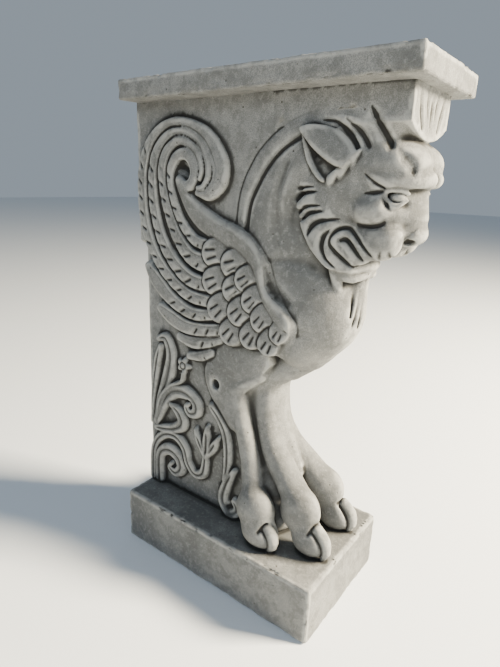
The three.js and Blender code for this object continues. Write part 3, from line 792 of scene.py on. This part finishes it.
def cast_stone_material(finish):
    """Grey cast stone: sandy grain, pinholes, grime and painted shade in the hollows, and rubbed edges with a
    painted highlight.
    """
    material = bpy.data.materials.new("Cast stone")
    material.use_nodes = True
    nodes, links = material.node_tree.nodes, material.node_tree.links
    nodes.clear()
    output = nodes.new("ShaderNodeOutputMaterial")
    shader = nodes.new("ShaderNodeBsdfPrincipled")
    shader.inputs["Roughness"].default_value = 0.92
    shader.inputs["Specular IOR Level"].default_value = 0.25
    links.new(shader.outputs["BSDF"], output.inputs["Surface"])
    place = nodes.new("ShaderNodeTexCoord")

    def cloud(scale, detail, roughness=0.6):
        node = nodes.new("ShaderNodeTexNoise")
        node.inputs["Scale"].default_value = scale
        node.inputs["Detail"].default_value = detail
        node.inputs["Roughness"].default_value = roughness
        links.new(place.outputs["Object"], node.inputs["Vector"])
        return node.outputs["Fac"]

    def spread(source, low, high, to_low=0.0, to_high=1.0):
        node = nodes.new("ShaderNodeMapRange")
        node.interpolation_type = "SMOOTHSTEP"
        for socket, value in zip(("From Min", "From Max", "To Min", "To Max"), (low, high, to_low, to_high)):
            node.inputs[socket].default_value = value
        links.new(source, node.inputs["Value"])
        return node.outputs["Result"]

    def mix(factor, first, second):
        node = nodes.new("ShaderNodeMix")
        node.data_type = "RGBA"
        for socket, value in ((0, factor), (6, first), (7, second)):
            if isinstance(value, bpy.types.NodeSocket):
                links.new(value, node.inputs[socket])
            else:
                node.inputs[socket].default_value = value
        return node.outputs[2]

    def attribute(name):
        node = nodes.new("ShaderNodeAttribute")
        node.attribute_name = name
        return node.outputs["Fac"]

    def product(first, second):
        node = nodes.new("ShaderNodeMath")
        node.operation = "MULTIPLY"
        links.new(first, node.inputs[0])
        links.new(second, node.inputs[1])
        return node.outputs["Value"]

    def bump(source, strength, distance, below=None):
        node = nodes.new("ShaderNodeBump")
        node.inputs["Strength"].default_value = strength
        node.inputs["Distance"].default_value = distance
        links.new(source, node.inputs["Height"])
        if below:
            links.new(below.outputs["Normal"], node.inputs["Normal"])
        return node

    colour = mix(spread(cloud(8.0, 5.0), 0.36, 0.64), finish.dark_patch, finish.pale_patch)
    colour = mix(spread(cloud(48.0, 6.0), 0.44, 0.60, 0.0, 0.6), colour, finish.stain)
    colour = mix(spread(cloud(170.0, 4.0), 0.50, 0.66, 0.0, 0.5), colour, finish.sand)
    colour = mix(spread(cloud(900.0, 3.0), 0.40, 0.60, 0.0, 0.6), colour, finish.speck)
    hollow = attribute("hollow")
    recess = attribute("recess")
    # Painted shade, with grime, darkens the wide recesses
    colour = mix(spread(recess, 0.4, 3.6, 0.0, 0.62), colour, finish.recess_shade)
    # Rubbed edges with a painted highlight: convex edges are lightened, broken up by noise
    wear_and_highlight = product(spread(hollow, -0.10, -0.70), spread(cloud(60.0, 4.0), 0.36, 0.56, 0.25, 0.75))
    colour = mix(wear_and_highlight, colour, finish.worn_edge_and_highlight)
    # Grime and painted shade: hollows are darkened by how deep they lie, broken up by noise
    grime_and_painted_shade = product(spread(hollow, 0.12, 1.1), spread(cloud(40.0, 4.0), 0.25, 0.55, 0.65, 1.0))
    colour = mix(grime_and_painted_shade, colour, finish.grime_and_painted_shade)
    # Painted shade, with grime, darkens the narrow slits
    colour = mix(spread(attribute("slit"), 0.06, 0.50, 0.0, 0.85), colour, finish.grime_and_painted_shade)

    # Pinholes: small dents whose dark bottoms are painted shade with grime
    pit = nodes.new("ShaderNodeTexVoronoi")
    pit.inputs["Scale"].default_value = 95.0
    links.new(place.outputs["Object"], pit.inputs["Vector"])
    pits = product(spread(pit.outputs["Distance"], 0.14, 0.07), spread(cloud(30.0, 2.0), 0.56, 0.60))
    colour = mix(pits, colour, finish.pinhole)
    links.new(colour, shader.inputs["Base Color"])

    grain = bump(cloud(420.0, 5.0, 0.65), 0.35, 0.0012)
    rough = bump(cloud(70.0, 4.0), 0.5, 0.002, grain)
    dents = bump(pits, 0.8, 0.001, rough)
    dents.invert = True
    links.new(dents.outputs["Normal"], shader.inputs["Normal"])
    return material


class PedestalSizes(bpy.types.PropertyGroup):
    """Sizes of the casting."""

    height: bpy.props.FloatProperty(
        name="Height", description="From the underside to the top of the slab", default=HEIGHT, unit="LENGTH")
    back: bpy.props.FloatProperty(
        name="Back", description="Where the flat back lies along the lion's length",
        default=BACK, unit="LENGTH")
    plinth_length: bpy.props.FloatProperty(
        name="Plinth Length", description="Length of the plinth block", default=0.354, unit="LENGTH")
    plinth_width: bpy.props.FloatProperty(
        name="Plinth Width", description="Width of the plinth block", default=WIDTH, unit="LENGTH")
    plinth_height: bpy.props.FloatProperty(
        name="Plinth Height", description="Height of the plinth block", default=0.088, unit="LENGTH")
    slab_length: bpy.props.FloatProperty(
        name="Slab Length", description="Length of the top slab", default=FRONT - BACK, unit="LENGTH")
    slab_width: bpy.props.FloatProperty(
        name="Slab Width", description="Width of the top slab", default=0.179, unit="LENGTH")
    slab_thickness: bpy.props.FloatProperty(
        name="Slab Thickness", description="Thickness of the top slab", default=0.026, unit="LENGTH")
    panel_half: bpy.props.FloatProperty(
        name="Panel Half", description="Half thickness of the panel beside the neck",
        default=0.0565, unit="LENGTH")
    ground_half: bpy.props.FloatProperty(
        name="Ground Half", description="Half thickness behind the scrollwork", default=0.043, unit="LENGTH")
    cell: bpy.props.FloatProperty(
        name="Cell", description="Fineness of the carving", default=0.00125, unit="LENGTH", precision=4)
    triangles: bpy.props.IntProperty(
        name="Triangles", description="How many triangles the carving keeps before long edges are split",
        default=148000)


class StoneFinish(bpy.types.PropertyGroup):
    """Colours of the cast stone, with its painted shade and painted highlight."""

    dark_patch: bpy.props.FloatVectorProperty(
        name="Dark Patch", description="Darker tone of the broad mottling",
        default=(0.122, 0.124, 0.122, 1), size=4, subtype="COLOR")
    pale_patch: bpy.props.FloatVectorProperty(
        name="Pale Patch", description="Paler tone of the broad mottling",
        default=(0.220, 0.222, 0.216, 1), size=4, subtype="COLOR")
    stain: bpy.props.FloatVectorProperty(
        name="Stain", description="Small dark stains",
        default=(0.105, 0.106, 0.103, 1), size=4, subtype="COLOR")
    sand: bpy.props.FloatVectorProperty(
        name="Sand", description="Pale grains of sand",
        default=(0.26, 0.261, 0.252, 1), size=4, subtype="COLOR")
    speck: bpy.props.FloatVectorProperty(
        name="Speck", description="Finest dark specks",
        default=(0.088, 0.088, 0.084, 1), size=4, subtype="COLOR")
    # Painted shade, with grime, in the wide recesses
    recess_shade: bpy.props.FloatVectorProperty(
        name="Recess Shade", description="Grime in the wide recesses",
        default=(0.050, 0.048, 0.043, 1), size=4, subtype="COLOR")
    # Rubbed edges, partly a painted highlight
    worn_edge_and_highlight: bpy.props.FloatVectorProperty(
        name="Worn Edge", description="Bare stone on rubbed edges",
        default=(0.33, 0.33, 0.312, 1), size=4, subtype="COLOR")
    # Grime and painted shade in the hollows, slits and joins
    grime_and_painted_shade: bpy.props.FloatVectorProperty(
        name="Wash", description="Dark wash in hollows and slits",
        default=(0.022, 0.021, 0.019, 1), size=4, subtype="COLOR")
    # Painted shade with grime at the bottom of the pinholes
    pinhole: bpy.props.FloatVectorProperty(
        name="Pinhole", description="Bottom of the pinholes",
        default=(0.07, 0.066, 0.06, 1), size=4, subtype="COLOR")


class StageSettings(bpy.types.PropertyGroup):
    """Camera, floor and sky of the studio stage."""

    eye: bpy.props.FloatVectorProperty(
        name="Eye", description="Where the camera stands",
        default=(0.4157, -0.5731, 0.5953), subtype="XYZ", unit="LENGTH")
    azimuth: bpy.props.FloatProperty(
        name="Azimuth", description="Turn of the view about the upright",
        default=math.radians(36.55), subtype="ANGLE")
    elevation: bpy.props.FloatProperty(
        name="Elevation", description="How far the camera looks down",
        default=math.radians(17.01), subtype="ANGLE")
    roll: bpy.props.FloatProperty(
        name="Roll", description="Tilt of the picture", default=math.radians(1.96), subtype="ANGLE")
    lens: bpy.props.FloatProperty(
        name="Lens", description="Focal length in millimetres on a 36 mm sensor", default=26.99)
    floor_colour: bpy.props.FloatVectorProperty(
        name="Floor Colour", description="Paint of the floor",
        default=(0.70, 0.73, 0.76, 1), size=4, subtype="COLOR")
    sky_colour: bpy.props.FloatVectorProperty(
        name="Sky Colour", description="Light from all round",
        default=(0.74, 0.87, 1.0, 1), size=4, subtype="COLOR")
    sky_strength: bpy.props.FloatProperty(
        name="Sky Strength", description="How bright the light from all round is", default=0.38)


class OBJECT_OT_carve_pedestal(bpy.types.Operator):
    """Carve the winged lion, its plinth and its slab as one casting"""

    bl_idname = "object.carve_pedestal"
    bl_label = "Carve Pedestal"

    def execute(self, context):
        sizes = context.scene.pedestal_sizes
        seat = sizes.height - sizes.slab_thickness
        half_length, half_width = sizes.plinth_length / 2, sizes.plinth_width / 2
        plinth = ((-half_length, -half_width, 0.0), (half_length, half_width, sizes.plinth_height))
        slab = ((sizes.back, -sizes.slab_width / 2, seat),
                (sizes.back + sizes.slab_length, sizes.slab_width / 2, sizes.height))
        field = carve_body(sizes)
        meshes = [
            body_mesh("winged_lion", field, sizes.triangles),
            block_mesh("plinth_block", *plinth, PLINTH_ROUND),
            block_mesh("top_slab", *slab, SLAB_ROUND),
        ]
        # Hollows are measured on the whole casting, with plinth and slab joined on
        for low, high in (plinth, slab):
            field.block([v / MM for v in low], [v / MM for v in high], 3.0)
        clipped = np.clip(field.value, -DEEPEST, DEEPEST)
        mirrored = np.concatenate([clipped[:, MIRROR_CELLS:0:-1, :], clipped], axis=1)
        blurred = {name: box_blur(mirrored, round(reach / field.cell))[:, MIRROR_CELLS:, :]
                   for name, reach in HOLLOW_REACH.items()}
        stone = cast_stone_material(context.scene.stone_finish)
        for mesh in meshes:
            store_hollows(mesh, field, blurred, seat / MM)
            mesh.materials.append(stone)
            piece = bpy.data.objects.new(mesh.name, mesh)
            context.collection.objects.link(piece)
            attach(piece, "root")
            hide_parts(NODE)
        return {"FINISHED"}


class SCENE_OT_studio_stage(bpy.types.Operator):
    """Set the plain floor, the soft lights and the camera"""

    bl_idname = "scene.studio_stage"
    bl_label = "Studio Stage"

    def execute(self, context):
        stage = context.scene.stage_settings
        mesh = bpy.data.meshes.new("floor")
        shaped = bmesh.new()
        bmesh.ops.create_grid(shaped, x_segments=1, y_segments=1, size=12.0)
        shaped.to_mesh(mesh)
        shaped.free()
        paint = bpy.data.materials.new("Pale floor")
        paint.use_nodes = True
        coat = paint.node_tree.nodes["Principled BSDF"]
        coat.inputs["Base Color"].default_value = stage.floor_colour
        coat.inputs["Roughness"].default_value = 0.9
        mesh.materials.append(paint)
        floor = bpy.data.objects.new("floor", mesh)
        context.collection.objects.link(floor)

        world = bpy.data.worlds.new("Studio")
        world.use_nodes = True
        sky = world.node_tree.nodes["Background"]
        sky.inputs["Color"].default_value = stage.sky_colour
        sky.inputs["Strength"].default_value = stage.sky_strength
        context.scene.world = world
        lamps = (
            ("key", (2.35, 1.25, 1.75), 0.8, 900.0, (1.0, 0.87, 0.64)),
            ("fill", (1.3, -2.5, 1.9), 1.6, 44.0, (0.78, 0.89, 1.0)),
        )
        for name, place, size, power, colour in lamps:
            lamp = bpy.data.lights.new(name, "AREA")
            lamp.size = size
            lamp.energy = power
            lamp.color = colour
            holder = bpy.data.objects.new(name, lamp)
            holder.location = place
            holder.rotation_euler = (Vector((0, 0, 0.4)) - Vector(place)).to_track_quat("-Z", "Y").to_euler()
            context.collection.objects.link(holder)

        turn = Matrix.Rotation(stage.azimuth, 4, "Z") @ Matrix.Rotation(math.pi / 2 - stage.elevation, 4, "X")
        camera = bpy.data.objects.new("camera", bpy.data.cameras.new("camera"))
        camera.data.lens = stage.lens
        camera.data.sensor_width = 36.0
        camera.matrix_world = Matrix.Translation(stage.eye) @ turn @ Matrix.Rotation(stage.roll, 4, "Z")
        context.collection.objects.link(camera)
        context.scene.camera = camera
        return {"FINISHED"}


class VIEW3D_PT_pedestal(bpy.types.Panel):
    """Sizes, colours, stage and the two operators"""

    bl_idname = "VIEW3D_PT_pedestal"
    bl_label = "Pedestal"
    bl_space_type = "VIEW_3D"
    bl_region_type = "UI"
    bl_category = "Pedestal"

    def draw(self, context):
        scene = context.scene
        for settings in (scene.pedestal_sizes, scene.stone_finish, scene.stage_settings):
            for name in type(settings).__annotations__:
                self.layout.prop(settings, name)
        self.layout.operator(OBJECT_OT_carve_pedestal.bl_idname)
        self.layout.operator(SCENE_OT_studio_stage.bl_idname)


CLASSES = (PedestalSizes, StoneFinish, StageSettings, OBJECT_OT_carve_pedestal, SCENE_OT_studio_stage,
           VIEW3D_PT_pedestal)


def register():
    for cls in CLASSES:
        bpy.utils.register_class(cls)
    bpy.types.Scene.pedestal_sizes = bpy.props.PointerProperty(type=PedestalSizes)
    bpy.types.Scene.stone_finish = bpy.props.PointerProperty(type=StoneFinish)
    bpy.types.Scene.stage_settings = bpy.props.PointerProperty(type=StageSettings)


def unregister():
    del bpy.types.Scene.stage_settings
    del bpy.types.Scene.stone_finish
    del bpy.types.Scene.pedestal_sizes
    for cls in reversed(CLASSES):
        bpy.utils.unregister_class(cls)


def main():
    register()
    bpy.ops.object.carve_pedestal()
    bpy.ops.scene.studio_stage()


if __name__ == "__main__":
    main()
